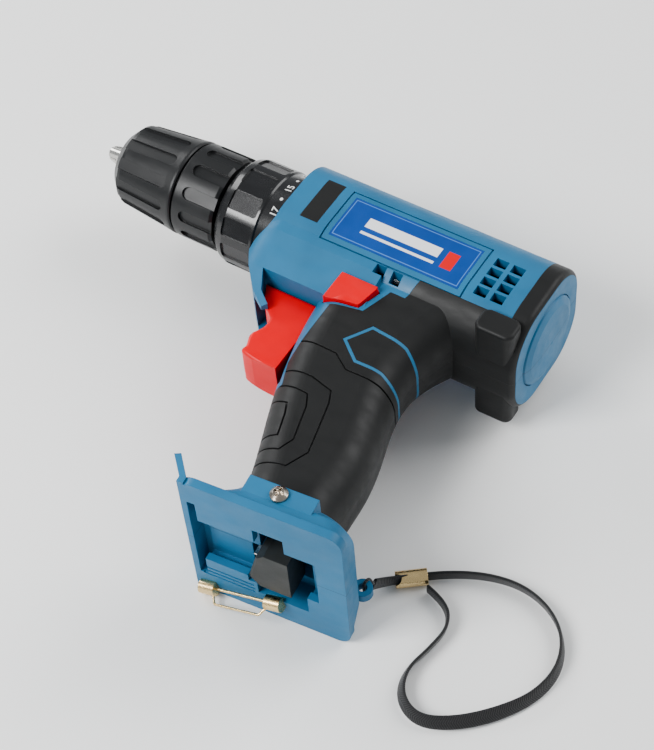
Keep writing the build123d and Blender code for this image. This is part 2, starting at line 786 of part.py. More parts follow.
def clutch_spring():
    """Compression spring between the adjusting nut and the pressure plate."""
    with BuildPart() as spring:
        with BuildLine() as path:
            Helix(pitch=15.0 / SPRING_TURNS, height=15.0, radius=16.2, center=(76.9, 0, 0), direction=(1, 0, 0))
        with BuildSketch(Plane(origin=path.line @ 0, z_dir=path.line % 0)):
            Circle(0.9)
        sweep(path=path.line)
    return spring.part


def clutch_balls():
    """Balls that carry the clutch's pressure through the case to the ring gear."""
    with BuildPart() as balls:
        with Locations(section(97.2)):
            with PolarLocations(CLUTCH_R, CLUTCH_BALLS):
                Sphere(BALL_R)
    return balls.part


def gearbox_case():
    """Gear case with its front tube and the ball holes in its front wall."""
    shell = turned([
        (71.0, 11.0), (71.0, 12.0), (95.5, 12.0), (95.5, CASE_R), (131.0, CASE_R), (131.0, CASE_BORE_R),
        (99.2, CASE_BORE_R), (99.2, 11.0),
    ])
    holes = []
    for index in range(CLUTCH_BALLS):
        turn = 2 * pi * index / CLUTCH_BALLS
        y, z = CLUTCH_R * cos(turn), CLUTCH_R * sin(turn)
        holes.append(rod((94.0, y, z), (101.0, y, z), BALL_R + 0.1))
    slots = block((117.6, -2.0, -30.0), (129.8, 2.0, 30.0))
    return cut(shell, slots, *holes)


def ball_bearing(x0, x1, r_in, r_out, balls=7):
    """Inner race, outer race and balls."""
    middle = (r_in + r_out) / 2
    groove_r = (r_out - r_in) * 0.27
    track = []
    for index in range(balls):
        turn = 2 * pi * index / balls
        with BuildPart() as ball:
            with Locations(((x0 + x1) / 2, middle * cos(turn), middle * sin(turn))):
                Sphere(groove_r - 0.02)
        track.append(ball.part)
    with BuildPart() as groove:
        with BuildSketch(Plane.XY):
            with Locations(((x0 + x1) / 2, middle)):
                Circle(groove_r)
        revolve(axis=Axis.X)
    inner = cut(tube(x0, x1, r_in, middle - groove_r * 0.55), groove.part)
    outer = cut(tube(x0, x1, middle + groove_r * 0.55, r_out), groove.part)
    return joined(inner, outer, *track)


# ---- speed selector ----
def speed_selector():
    """Sliding knob on top with its cover plate under the shell."""
    with BuildPart() as knob:
        with Locations((SELECTOR_X - 0.5, 26.0, 0)):
            Box(SELECTOR_LENGTH, 9.0, 9.2)
        fillet(knob.edges().group_by(Axis.Y)[-1], 1.2)
        for step in range(4):
            with Locations((SELECTOR_X - 4 + step * 2.4, 30.5, 0)):
                Box(1.0, 1.0, 12.0, mode=Mode.SUBTRACT)
        add(block((121.0, 21.2, -7.0), (149.5, 22.7, 7.0)))
    return joined(knob.part, shift_fork())


def shift_fork():
    """Spring strip round the gear case whose two pins move the sliding ring gear."""
    strip = cut(tube(118.0, 121.0, 20.85, 21.75), block((100, -40, -40), (140, -4, 40)))
    left_pin = rod((119.5, 0, 17.9), (119.5, 0, 21.3), 1.2)
    right_pin = rod((119.5, 0, -17.9), (119.5, 0, -21.3), 1.2)
    return joined(strip, left_pin, right_pin)


def speed_ring():
    """First-stage ring gear with the groove that the fork's pins run in."""
    return cut(ring_gear(113.9, 122.3), tube(118.1, 120.9, 17.85, 25.0))


# ---- motor ----
def motor_can():
    """Steel can with a front boss and vents."""
    shell = turned([
        (131.4, 4.0), (131.4, 6.4), (CAN_FRONT, 6.4), (CAN_FRONT, CAN_R - 1.5), (CAN_FRONT + 1.5, CAN_R),
        (CAN_REAR, CAN_R), (CAN_REAR, CAN_R - 1.5), (CAN_FRONT + 1.5, CAN_R - 1.5), (CAN_FRONT + 1.5, 4.0),
    ])
    vents = []
    for index in range(4):
        turn = 2 * pi * (index + 0.5) / 4
        vents.append(rod((175, 14 * cos(turn), 14 * sin(turn)), (175, 22 * cos(turn), 22 * sin(turn)), 3.0))
    return cut(shell, *vents)


def motor_magnets():
    """Two arc magnets glued in the can."""
    ring = tube(141.0, 172.0, STACK_R + 0.6, CAN_R - 1.5)
    return cut(ring, block((130, -3, -30), (180, 3, 30)))


def rotor_stack():
    """Laminated armature with slots for the windings."""
    slots = []
    for index in range(5):
        turn = 2 * pi * index / 5
        y, z = cos(turn), sin(turn)
        slots.append(rod((142, 9.5 * y, 9.5 * z), (171, 9.5 * y, 9.5 * z), 3.2))
        with BuildPart() as mouth:
            with BuildSketch(Plane(origin=(143, 0, 0), x_dir=(0, y, z), z_dir=(1, 0, 0))):
                with Locations((12.5, 0)):
                    Rectangle(5, 1.4)
            extrude(amount=27)
        slots.append(mouth.part)
    return cut(tube(143.0, 170.0, SHAFT_R, STACK_R), *slots)


def rotor_windings():
    """Copper coils in the slots and their overhangs."""
    bars = []
    for index in range(5):
        turn = 2 * pi * index / 5
        y, z = 9.5 * cos(turn), 9.5 * sin(turn)
        bars.append(rod((142.6, y, z), (170.4, y, z), 3.0))
    front = turned([(139.0, 6.0), (138.2, 8.0), (138.8, 11.0), (142.8, 12.4), (142.8, 5.4)])
    rear = turned([(170.2, 5.4), (170.2, 12.4), (174.0, 11.0), (174.6, 8.0), (174.0, 6.0)])
    return joined(front, rear, *bars)


def commutator():
    """Segmented copper commutator."""
    cuts = []
    for index in range(5):
        turn = 2 * pi * index / 5
        with BuildPart() as saw:
            with BuildSketch(Plane(origin=(176, 0, 0), x_dir=(0, cos(turn), sin(turn)), z_dir=(1, 0, 0))):
                with Locations((4.4, 0)):
                    Rectangle(1.4, 0.4)
            extrude(amount=8)
        cuts.append(saw.part)
    return cut(tube(175.4, 183.4, SHAFT_R, 4.6), *cuts)


def end_bell():
    """Plastic rear cover of the motor with its bush seat and two terminal posts."""
    bell = turned([
        (CAN_REAR, 14.2), (CAN_REAR, CAN_R), (189.5, CAN_R - 0.5), (191.0, 8.0), (194.0, 7.0),
        (194.0, 4.0), (187.4, 4.0), (187.4, 14.2),
    ])
    return bell


def motor_bushes():
    """Front and rear bushes of the motor shaft."""
    return joined(tube(131.4, 136.4, SHAFT_R + RUNNING_PLAY, 4.0), tube(188.4, 194.0, SHAFT_R + RUNNING_PLAY, 4.0))


def motor_brushes():
    """Carbon brushes on the commutator."""
    upper = block((177.0, 5.0, -2.0), (181.5, 12.0, 2.0))
    lower = block((177.0, -12.0, -2.0), (181.5, -5.0, 2.0))
    return joined(upper, lower)


# ---- trigger, switch and lever ----
def trigger():
    """Finger trigger with its curved front and its rod into the switch."""
    with BuildPart() as lever:
        with BuildSketch(Plane.XY.offset(-TRIGGER_HALF_WIDTH)):
            with BuildLine():
                Line((105.9, -36.6), (110.6, -45.0))
                Spline((110.6, -45.0), (116.9, -51.0), (117.2, -56.5), (114.8, -62.0), (116.4, -68.0),
                       (122.0, -72.0), tangents=((0.5, -0.85), (1.0, -0.15)))
                Line((122.0, -72.0), (133.5, -72.0))
                Line((133.5, -72.0), (133.5, -36.6))
                Line((133.5, -36.6), (105.9, -36.6))
            make_face()
        extrude(amount=2 * TRIGGER_HALF_WIDTH)
        front = lever.edges().filter_by(lambda e: e.center().X < 125 and abs(e.center().Z) > 9)
        fillet(front, 1.5)
        add(rod((133.0, -52.0, 0), (147.0, -52.0, 0), ROD_R))
    return lever.part


def switch_module():
    """Speed switch with its bore for the trigger's rod."""
    with BuildPart() as switch:
        add(block(*SWITCH_BOX))
        fillet(switch.edges().filter_by(Axis.Z), 1.0)
        add(rod((141.0, -52.0, 0), (157.0, -52.0, 0), ROD_R + 0.35), mode=Mode.SUBTRACT)
        add(block((150.0, -39.0, -4.0), (160.0, -37.6, 4.0)))
    return switch.part


def direction_lever():
    """Reversing lever: a bar across the drill with a button on each side."""
    proud = body_shape(-LEVER_PROUD)
    ends = cut(common(proud, lever_prism(0.0)), prism(rectangle(100, 200, -60, 0), -15.0, 15.0))
    return joined(ends, block((140.0, -33.0, -18.0), (149.0, -28.0, 18.0)))


# ---- small fittings ----
def rear_cap():
    """Domed cap in the rear wall."""
    return turned([
        (BARREL_REAR - REAR_WALL, 0), (BARREL_REAR - REAR_WALL, CAP_R), (BARREL_REAR - 0.8, CAP_R),
        (BARREL_REAR + 0.6, CAP_R - 0.8), (BARREL_REAR + 1.7, CAP_R - 4.0), (BARREL_REAR + 2.3, 8.0),
        (BARREL_REAR + 2.4, 0),
    ])


def lamp_lens():
    """Clear lens flush with the prow."""
    return lamp_bore(LAMP_R, 2.0)


def lamp_led():
    """Light-emitting diode behind the lens."""
    return cut(lamp_bore(LAMP_R - 0.3, 8.0), lamp_bore(LAMP_R + 1.0, 2.3, 1.0))


def terminal_leads():
    """Two insulated leads from the switch down to the terminal block."""
    left = bent_wire(((160, -65.0, 4), (163, -80, 5), (171, -105, 5), (176, -133.0, 5)), 1.1, 12)
    right = bent_wire(((164, -65.0, -4), (168, -80, -5), (176, -105, -5), (182, -132.6, -5)), 1.1, 12)
    return joined(left, right)


def motor_leads():
    """Two pale leads from the switch past the sight windows to the motor."""
    leads = []
    for side in (1, -1):
        points = ((161.5, -38.3, 6 * side), (160.5, -29, 11 * side), (158.2, -19.5, 15.2 * side),
                  (170, -13, 17.0 * side), (188.5, -8.5, 18.0 * side))
        leads.append(bent_wire(points, 1.1, 4))
    return joined(*leads)


# ---- battery mount ----
def mount_point(u, v, z):
    """Point of the tilted battery mount in the drill's frame."""
    return foot_plane(z).from_local_coords((u, v, 0))


def mount_level(u0, u1, half_width, corner):
    """Rounded outline in a level of the mount, from u0 to u1."""
    with Locations(((u0 + u1) / 2, 0)):
        RectangleRounded(u1 - u0, 2 * half_width, corner)


def mount_cut(v_low, v_high, u0, u1, z0, z1):
    """Block of the tilted mount's space, for one of its openings."""
    with BuildPart() as solid:
        with BuildSketch(foot_level(v_low)):
            with Locations(((u0 + u1) / 2, (z0 + z1) / 2)):
                Rectangle(u1 - u0, z1 - z0)
        extrude(amount=v_low - v_high)
    return solid.part


def mount_body():
    """Plate, skirt, front lip and screw tabs of the battery mount, still solid."""
    with BuildPart() as body:
        with BuildSketch(foot_level(FOOT_RIM)):
            mount_level(FOOT_FRONT, FOOT_REAR, FOOT_HALF_WIDTH, 6.0)
        extrude(amount=FOOT_RIM - PLATE_TOP)
        with BuildSketch(foot_level(PLATE_TOP)):
            mount_level(-24.8, -6.0, 27.0, 1.0)
        extrude(amount=PLATE_TOP - BAY_ROOF)
        with BuildSketch(foot_level(PLATE_TOP)):
            mount_level(-14.0, FOOT_REAR, FOOT_HALF_WIDTH - 1.0, 8.0)
        with BuildSketch(foot_level(SKIRT_MIDDLE)):
            mount_level(-10.0, FOOT_REAR - 0.5, 32.0, 12.0)
        loft(ruled=True)
        with BuildSketch(foot_level(SKIRT_MIDDLE)):
            mount_level(-10.0, FOOT_REAR - 0.5, 32.0, 12.0)
        with BuildSketch(foot_level(SKIRT_TOP)):
            mount_level(-14.0, 35.5, 22.0, 14.0)
        loft(ruled=True)
        with BuildSketch(foot_plane(FLOOR_Z)):
            with BuildLine():
                Polyline(*LIP_OUTLINE, close=True)
            make_face()
        extrude(amount=2 * FOOT_HALF_WIDTH)
        with BuildSketch(foot_plane(-TAB_HALF_WIDTH)):
            with Locations(((TAB_FRONT + TAB_REAR) / 2, (TAB_LOW + TAB_HIGH) / 2)):
                Rectangle(TAB_REAR - TAB_FRONT, TAB_HIGH - TAB_LOW)
        extrude(amount=2 * TAB_HALF_WIDTH)
    return body.part


def battery_mount():
    """Foot of the handle: the plate with its bay, rails, terminal well and strap eye."""
    return cut(
        joined(mount_body(), lanyard_eye()),
        # bay between the rails, undercut for the battery's tongues
        mount_cut(FOOT_RIM - 1, BAY_FLOOR, -19.5, 29.0, -BAY_HALF_WIDTH, BAY_HALF_WIDTH),
        mount_cut(GROOVE_FLOOR, BAY_FLOOR, -19.5, 29.0, -BAY_HALF_WIDTH - 2.5, BAY_HALF_WIDTH + 2.5),
        # slot behind the lip, latch window and terminal well
        mount_cut(FOOT_RIM - 1, BAY_ROOF - 1.0, -22.8, -19.5, -24.0, 24.0),
        mount_cut(FOOT_RIM - 1, WELL_ROOF, 4.0, 16.5, BAY_HALF_WIDTH - 1, 21.5),
        mount_cut(FOOT_RIM - 1, WELL_ROOF, 2.5, 24.0, -23.0, BAY_HALF_WIDTH),
        mount_cut(FOOT_RIM - 1, WELL_ROOF, -1.2, 3.0, -16.6, 0.6),
        # ribs across the right-hand rail
        *[mount_cut(FOOT_RIM - 1, FOOT_RIM + 0.8, -21.5, 1.0, z, z + 1.1) for z in (-24.6, -22.2, -19.8)],
        # hollow for the handle's end and the leads
        handle_shape(RUBBER),
        block((171.0, -139.0, -8.0), (187.0, -126.0, 8.0)),
        contact_pins(),
    )


def terminal_block():
    """Dark terminal block standing in its well, with a bevelled corner and slots for the blades."""
    with BuildPart() as body:
        with BuildSketch(foot_level(BLOCK_FACE)):
            with BuildLine():
                Polyline(*BLOCK_OUTLINE, close=True)
            make_face()
        extrude(amount=BLOCK_FACE - WELL_ROOF)
        chamfer(body.faces().sort_by(Axis.Y)[0].edges().sort_by(Axis.X)[0:2], 1.0)
        for z in BLADE_PLACES:
            with BuildSketch(foot_plane(z - 0.6)):
                with Locations((2.0, -16.0)):
                    Rectangle(12.0, 5.0)
            extrude(amount=1.2, mode=Mode.SUBTRACT)
    return body.part


def terminal_blades():
    """Spring blades in the block's slots."""
    with BuildPart() as blades:
        for z in BLADE_PLACES:
            with BuildSketch(foot_plane(z - 0.4)):
                with Locations((5.0, -16.0)):
                    Rectangle(5.9, 4.2)
            extrude(amount=0.8)
    return blades.part


def contact_pins():
    """Two brass barrels and the bent wire between them, at the right-hand rail."""
    front, rear = mount_point(-22.8, -21.4, -32.9), mount_point(13.2, -21.4, -23.4)
    along = (rear - front).normalized()
    barrels = [rod(start, start + along * 7.0, 3.0) for start in (front, rear - along * 7.0)]
    low_front, low_rear = mount_point(-14.5, -26.8, -33.4), mount_point(5.5, -26.8, -27.6)
    ends = (front + along * 5.0, low_front, low_rear, rear - along * 5.0)
    return joined(bent_wire(ends, 0.5, 1.2), rod(front, rear, 0.6), *barrels)


def mount_screws():
    """Pan-head screws with cross recesses through the mount's tabs, one on each flank."""
    with BuildPart() as screws:
        for side in (1, -1):
            centre = mount_point(*MOUNT_SCREW, side * TAB_HALF_WIDTH)
            with Locations(Plane(origin=centre, z_dir=(0, 0, side))):
                Cylinder(3.5, 1.0, align=(Align.CENTER, Align.CENTER, Align.MIN))
                Cone(3.5, 2.0, 1.3, align=(Align.CENTER, Align.CENTER, Align.MIN))
            with Locations(Plane(origin=centre + Vector(0, 0, side), z_dir=(0, 0, side))):
                Cone(3.5, 2.2, 1.2, align=(Align.CENTER, Align.CENTER, Align.MIN))
            with Locations(Plane(origin=centre + Vector(0, 0, 2.2 * side), z_dir=(0, 0, side))):
                Box(4.2, 0.9, 2.2, mode=Mode.SUBTRACT)
                Box(0.9, 4.2, 2.2, mode=Mode.SUBTRACT)
    return screws.part


def lanyard_eye():
    """Moulded eye for the wrist strap on the mount's rear shoulder."""
    with BuildPart() as eye:
        with BuildSketch(Plane.XY.offset(-24.0)):
            with Locations(EYE_CENTRE):
                Circle(4.0)
                Circle(1.8, mode=Mode.SUBTRACT)
            with Locations((EYE_CENTRE[0] - 4.0, EYE_CENTRE[1] - 6.5)):
                Rectangle(5.0, 8.0)
        extrude(amount=4.0)
    return eye.part


def strap_ferrule():
    """Crimped ferrule that closes the strap's loop."""
    start, end = Vector(*STRAP_ROUTE[2]), Vector(*STRAP_ROUTE[3])
    along = (end - start).normalized()
    plane = Plane(origin=start - along * 4.0, x_dir=Vector(0, 0, 1), z_dir=along)
    with BuildPart() as ferrule:
        with BuildSketch(plane):
            RectangleRounded(FERRULE_HEIGHT, 6.8, 3.0)
        extrude(amount=12.5)
    return ferrule.part


def strap_radii():
    """Bend radius at each corner of the strap's route: 0.45 of its shorter run."""
    radii = []
    for before, corner, after in zip(STRAP_ROUTE, STRAP_ROUTE[1:], STRAP_ROUTE[2:]):
        run_in = Vector(*corner) - Vector(*before)
        run_out = Vector(*after) - Vector(*corner)
        turn = radians(run_in.get_angle(run_out))
        radii.append(0.45 * min(run_in.length, run_out.length) / tan(turn / 2))
    return radii


def wrist_strap():
    """Wrist strap as a plain round stand-in along its route."""
    radii = strap_radii()
    print("strap bend radii:", [round(radius, 1) for radius in radii])
    with BuildPart() as strap:
        with BuildLine() as path:
            FilletPolyline(*STRAP_ROUTE, radius=radii)
        with BuildSketch(Plane(origin=path.line @ 0, z_dir=path.line % 0)):
            Circle(STRAP_WIDTH / 2)
        sweep(path=path.line)
    length = sum(edge.length for edge in path.edges())
    print("strap length:", round(length, 1), "volume ratio:",
          round(strap.part.volume / (length * pi * STRAP_WIDTH ** 2 / 4), 3))
    return strap.part


def main():
    os.makedirs("parts", exist_ok=True)
    outer = body_shape(0.0, EDGE_R)
    shell = housing(outer)
    save(half(shell, 1), "left_housing")
    save(half(shell, -1), "right_housing")
    save(grip(outer, 1), "left_grip")
    save(grip(outer, -1), "right_grip")
    save(inlay(outer), "grip_inlays")
    inserts = skin(rectangle(*INSERT_BOX), INSERT_DEPTH, outer)
    save(inserts, "nose_inserts")
    labels = skin(rectangle(*LABEL_BOX), LABEL_DEPTH, outer)
    save(labels, "side_labels")
    save(housing_screws(), "housing_screws")
    save(rear_cap(), "rear_cap")
    save(lamp_lens(), "lamp_lens")
    save(lamp_led(), "lamp_led")
    save(battery_mount(), "battery_mount")
    save(mount_screws(), "mount_screws")
    save(terminal_block(), "terminal_block")
    save(terminal_blades(), "terminal_blades")
    save(contact_pins(), "contact_pins")
    strap = wrist_strap()
    save(strap, "wrist_strap")
    save(cut(strap_ferrule(), strap), "strap_ferrule")
    save(trigger(), "trigger")
    save(switch_module(), "switch_module")
    save(joined(terminal_leads(), motor_leads()), "wire_leads")
    save(direction_lever(), "direction_lever")
    save(speed_selector(), "speed_selector")
    save(speed_ring(), "speed_ring")
    # chuck
    save(chuck_sleeve(), "chuck_sleeve")
    save(jaw_nut(), "jaw_nut")
    save(chuck_rear_sleeve(), "chuck_rear_sleeve")
    save(chuck_body(), "chuck_body")
    save(chuck_screw(), "chuck_screw")
    for index in range(JAWS):
        save(jaw(index), f"jaw_{index + 1}")
    # torque ring, clutch and gearing
    save(torque_ring(), "torque_ring")
    save(tube(72.0, 75.5, 12.6, RING_BORE_R), "clutch_nut")
    save(clutch_spring(), "clutch_spring")
    save(tube(93.0, 95.2, 12.5, 19.5), "pressure_plate")
    save(clutch_balls(), "clutch_balls")
    save(gearbox_case(), "gearbox_case")
    save(spindle(), "spindle")
    bearings = [ball_bearing(x, x + 7.0, SPINDLE_R + RUNNING_PLAY, 11.0) for x in (73.0, 90.0)]
    save(joined(*bearings), "spindle_bearings")
    save(ring_gear(99.4, 110.8), "output_ring_gear")
    save(output_carrier(), "output_carrier")
    save(first_carrier(), "first_carrier")
    for index in range(PLANETS):
        save(planet(index, 103.6, 110.0), f"output_planet_{index + 1}")
        save(planet(index, 114.2, 120.6), f"first_planet_{index + 1}")
    # motor
    save(tube(131.0, CAN_FRONT, 6.4, CASE_R), "motor_plate")
    save(motor_can(), "motor_can")
    save(motor_magnets(), "motor_magnets")
    save(joined(tube(114.2, 192.5, 0, SHAFT_R)), "motor_shaft")
    save(spur_gear(SUN_TEETH, 114.2, 124.0, SHAFT_R), "motor_pinion")
    save(rotor_stack(), "rotor_stack")
    save(rotor_windings(), "rotor_windings")
    save(commutator(), "commutator")
    save(end_bell(), "end_bell")
    save(motor_bushes(), "motor_bushes")
    save(motor_brushes(), "motor_brushes")


main()
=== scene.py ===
"""Looks of the cordless drill: its materials, flat wrist strap, torque ring numbers, light and camera.

Metres, in the drill's own frame: +X runs to the rear, +Y is the drill's top, and +Z points up from the
floor that it lies on.
"""
import json
import math

import bmesh
import bpy
from mathutils import Matrix, Vector


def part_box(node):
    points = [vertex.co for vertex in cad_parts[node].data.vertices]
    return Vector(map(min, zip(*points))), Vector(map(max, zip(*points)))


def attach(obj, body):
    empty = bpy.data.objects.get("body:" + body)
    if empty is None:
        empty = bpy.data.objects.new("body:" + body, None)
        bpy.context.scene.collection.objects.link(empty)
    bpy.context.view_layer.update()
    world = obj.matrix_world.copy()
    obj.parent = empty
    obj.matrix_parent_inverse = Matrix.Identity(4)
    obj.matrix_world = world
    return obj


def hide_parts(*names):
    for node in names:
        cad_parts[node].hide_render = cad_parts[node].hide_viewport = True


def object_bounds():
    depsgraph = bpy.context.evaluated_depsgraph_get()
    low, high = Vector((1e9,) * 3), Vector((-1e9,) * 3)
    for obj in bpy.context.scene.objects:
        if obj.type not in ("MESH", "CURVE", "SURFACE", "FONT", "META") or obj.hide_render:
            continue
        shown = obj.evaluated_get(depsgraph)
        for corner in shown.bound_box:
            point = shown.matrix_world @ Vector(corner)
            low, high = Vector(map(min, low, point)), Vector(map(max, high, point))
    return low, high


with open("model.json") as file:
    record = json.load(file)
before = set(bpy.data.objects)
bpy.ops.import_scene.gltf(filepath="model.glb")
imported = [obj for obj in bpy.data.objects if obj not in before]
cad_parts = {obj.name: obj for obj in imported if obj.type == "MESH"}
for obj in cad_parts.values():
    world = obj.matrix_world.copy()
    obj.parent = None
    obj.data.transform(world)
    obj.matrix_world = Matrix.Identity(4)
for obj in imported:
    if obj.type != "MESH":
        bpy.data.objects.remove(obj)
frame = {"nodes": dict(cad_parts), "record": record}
cad_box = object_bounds()
MM = 0.001

# ---- strap: the route is the one that the CAD's plain strap follows, in mm, and a lean is a share of
# the length with degrees ----
STRAP_Z = -32.8
STRAP_ROUTE = (
    (205.8, -119.6, -25.6), (207.4, -113.8, -30.6), (213.0, -107.5, STRAP_Z), (226.0, -97.5, STRAP_Z),
    (240.0, -90.5, STRAP_Z), (254.5, -88.0, STRAP_Z), (268.5, -92.0, STRAP_Z),
    (278.5, -101.0, STRAP_Z), (283.0, -113.5, STRAP_Z), (280.5, -127.5, STRAP_Z),
    (271.5, -141.0, STRAP_Z), (260.0, -152.0, STRAP_Z), (247.5, -158.0, STRAP_Z),
    (237.0, -153.0, STRAP_Z), (233.0, -142.0, STRAP_Z), (236.5, -129.5, STRAP_Z),
    (238.0, -118.0, STRAP_Z), (232.5, -109.5, STRAP_Z), (222.5, -107.0, STRAP_Z),
)
STRAP_WIDTH = 5.8 * MM
STRAP_THICKNESS = 1.4 * MM
STRAP_LEANS = ((0.0, 0), (0.35, 8), (0.50, 25), (0.62, 48), (0.74, 30), (0.88, 12), (1.0, 0))
PICK_PITCH = 0.9 * MM
PICK_SLANT = 1.6 * MM
RIB_PITCH = 0.55 * MM
EYE = Vector((205.0, -125.5, -22.0)) * MM
CORD_R = 0.6 * MM
TAPE_STEP = 0.45 * MM
CORD_STEP = 0.3 * MM
TAPE_SIDES = 20
CORD_SIDES = 10

# ---- torque ring numbers ----
LAST_NUMBER = 17
LAST_ANGLE = 116
STEP_ANGLE = 15
DIGIT_SIZE = 4.455 * MM
DOT_SIZE = 5.28 * MM
NUMBER_INSET = 2.5 * MM
BAND_SLOPE = 0.12
PRINT_DEPTH = 0.05 * MM
PRINT_LIFT = 0.01 * MM

# ---- label: insets of its frame line, and each mark's centre from the label's own and its half size ----
LINE_OUTER = 0.9 * MM
LINE_INNER = 1.3 * MM
WIDE_BAR = ((-2.0 * MM, 1.5 * MM), (17 * MM, 2.6 * MM))
THIN_BAR = ((-2.0 * MM, -4.2 * MM), (17 * MM, 0.7 * MM))
RED_MARK = ((20.5 * MM, -0.4 * MM), (2.6 * MM, 4.5 * MM))
PRINT_EDGE = 0.05 * MM

# ---- floor ----
FLOOR_REACH = 4.0
FLOOR_GAP = 0.2 * MM

# ---- camera: compass angle, height angle and roll in degrees, place in metres ----
CAMERA_PLACE = Vector((0.4265, -0.4332, 0.6067))
CAMERA_AZIMUTH = 42.45
CAMERA_ELEVATION = 45.95
CAMERA_ROLL = 10.36
CAMERA_LENS = 92.0
AIM_SHIFT = Vector((0.006, 0.006, 0.0))

# ---- lights: places from the drill's middle in metres, powers in watts ----
KEY_PLACE = Vector((-0.45, -0.75, 0.85))
KEY_POWER = 13.0
FILL_PLACE = Vector((0.65, 0.95, 0.90))
FILL_POWER = 11.0
RIM_PLACE = Vector((-0.95, 0.35, 0.55))
RIM_POWER = 4.0
SKY_STRENGTH = 0.42


# ---- node helpers ----
def node(tree, kind, inputs=None, **settings):
    """New shader node with its settings and unlinked input values."""
    made = tree.nodes.new(kind)
    for key, value in settings.items():
        setattr(made, key, value)
    for key, value in (inputs or {}).items():
        made.inputs[key].default_value = value
    return made


def math_node(tree, operation, a, b=0.0):
    """Math node whose operands are sockets or numbers; returns its output."""
    made = node(tree, "ShaderNodeMath", operation=operation)
    for slot, value in zip(made.inputs, (a, b)):
        if isinstance(value, bpy.types.NodeSocket):
            tree.links.new(value, slot)
        else:
            slot.default_value = value
    return made.outputs[0]


def noise(tree, scale, detail=3.0, stretch=(1, 1, 1), roughness=0.5):
    """Noise in the drill's frame, scale in cycles per metre; returns its 0 to 1 output."""
    place = node(tree, "ShaderNodeTexCoord")
    mapping = node(tree, "ShaderNodeMapping", {"Scale": stretch})
    look = {"Scale": scale, "Detail": detail, "Roughness": roughness}
    made = node(tree, "ShaderNodeTexNoise", look)
    tree.links.new(place.outputs["Object"], mapping.inputs["Vector"])
    tree.links.new(mapping.outputs["Vector"], made.inputs["Vector"])
    return made.outputs[0]


def ramp(tree, value, low, high, to_low=0.0, to_high=1.0):
    """Value moved from one range to another and clamped."""
    span = {"From Min": low, "From Max": high, "To Min": to_low, "To Max": to_high}
    made = node(tree, "ShaderNodeMapRange", span)
    tree.links.new(value, made.inputs["Value"])
    return made.outputs[0]


def mix_colour(tree, factor, a, b):
    """Mix of two colours or colour sockets."""
    made = node(tree, "ShaderNodeMix", data_type="RGBA")
    tree.links.new(factor, made.inputs[0])
    for slot, value in ((made.inputs[6], a), (made.inputs[7], b)):
        if isinstance(value, bpy.types.NodeSocket):
            tree.links.new(value, slot)
        else:
            slot.default_value = (*value, 1.0)
    return made.outputs[2]


def edge_mask(tree, radius):
    """1 along sharp edges within radius, 0 on flats, with the rounded normal that it comes from."""
    rounded = node(tree, "ShaderNodeBevel", {"Radius": radius}, samples=4)
    flat = node(tree, "ShaderNodeNewGeometry")
    dot = node(tree, "ShaderNodeVectorMath", operation="DOT_PRODUCT")
    tree.links.new(rounded.outputs["Normal"], dot.inputs[0])
    tree.links.new(flat.outputs["Normal"], dot.inputs[1])
    return ramp(tree, dot.outputs["Value"], 0.995, 0.9), rounded.outputs["Normal"]


def frame_axes(tree):
    """X, Y and Z sockets of the drill's frame."""
    place = node(tree, "ShaderNodeTexCoord")
    split = node(tree, "ShaderNodeSeparateXYZ")
    tree.links.new(place.outputs["Object"], split.inputs[0])
    return split.outputs["X"], split.outputs["Y"], split.outputs["Z"]


def bump(tree, height, strength, distance, normal=None):
    """Bump from a height socket, over another normal if one is given."""
    made = node(tree, "ShaderNodeBump", {"Strength": strength, "Distance": distance})
    tree.links.new(height, made.inputs["Height"])
    if normal:
        tree.links.new(normal, made.inputs["Normal"])
    return made.outputs["Normal"]


def new_material(name, **uniform):
    """Material with its Principled shader's uniform values set."""
    material = bpy.data.materials.new(name)
    material.use_nodes = True
    tree = material.node_tree
    shader = tree.nodes["Principled BSDF"]
    for key, value in uniform.items():
        shader.inputs[key.replace("_", " ")].default_value = value
    return material, tree, shader


# ---- materials ----
def moulded(name, colour, rough, grain=1800, relief=0.25, worn=0.25, seam=False, **uniform):
    """Moulded plastic or rubber: fine grain, uneven gloss, rubbed edges and a parting line if asked."""
    material, tree, shader = new_material(name, **uniform)
    light = tuple(min(1.0, c * 1.3 + 0.008) for c in colour)
    dark = tuple(c * 0.82 for c in colour)
    cloud = noise(tree, 45, 4)
    fine = noise(tree, grain, 4, roughness=0.6)
    smear = noise(tree, 160, 5, stretch=(0.5, 1.4, 1.0))
    edges, rounded = edge_mask(tree, 0.35 * MM)
    base = mix_colour(tree, ramp(tree, cloud, 0.3, 0.7), dark, colour)
    rubbed = math_node(tree, "MULTIPLY", edges, ramp(tree, smear, 0.35, 0.65))
    rubbed = math_node(tree, "MULTIPLY", rubbed, worn)
    base = mix_colour(tree, rubbed, base, light)
    height = fine
    if seam:
        line = math_node(tree, "ABSOLUTE", frame_axes(tree)[2])
        line = ramp(tree, line, 0.06 * MM, 0.16 * MM)
        base = mix_colour(tree, line, tuple(c * 0.25 for c in colour), base)
        height = math_node(tree, "MULTIPLY", fine, line)
    tree.links.new(base, shader.inputs["Base Color"])
    gloss = math_node(tree, "ADD", ramp(tree, smear, 0.3, 0.7, rough - 0.06, rough + 0.07),
                      ramp(tree, fine, 0.3, 0.7, -0.03, 0.03))
    tree.links.new(gloss, shader.inputs["Roughness"])
    tree.links.new(bump(tree, height, relief, 0.06 * MM, rounded), shader.inputs["Normal"])
    return material


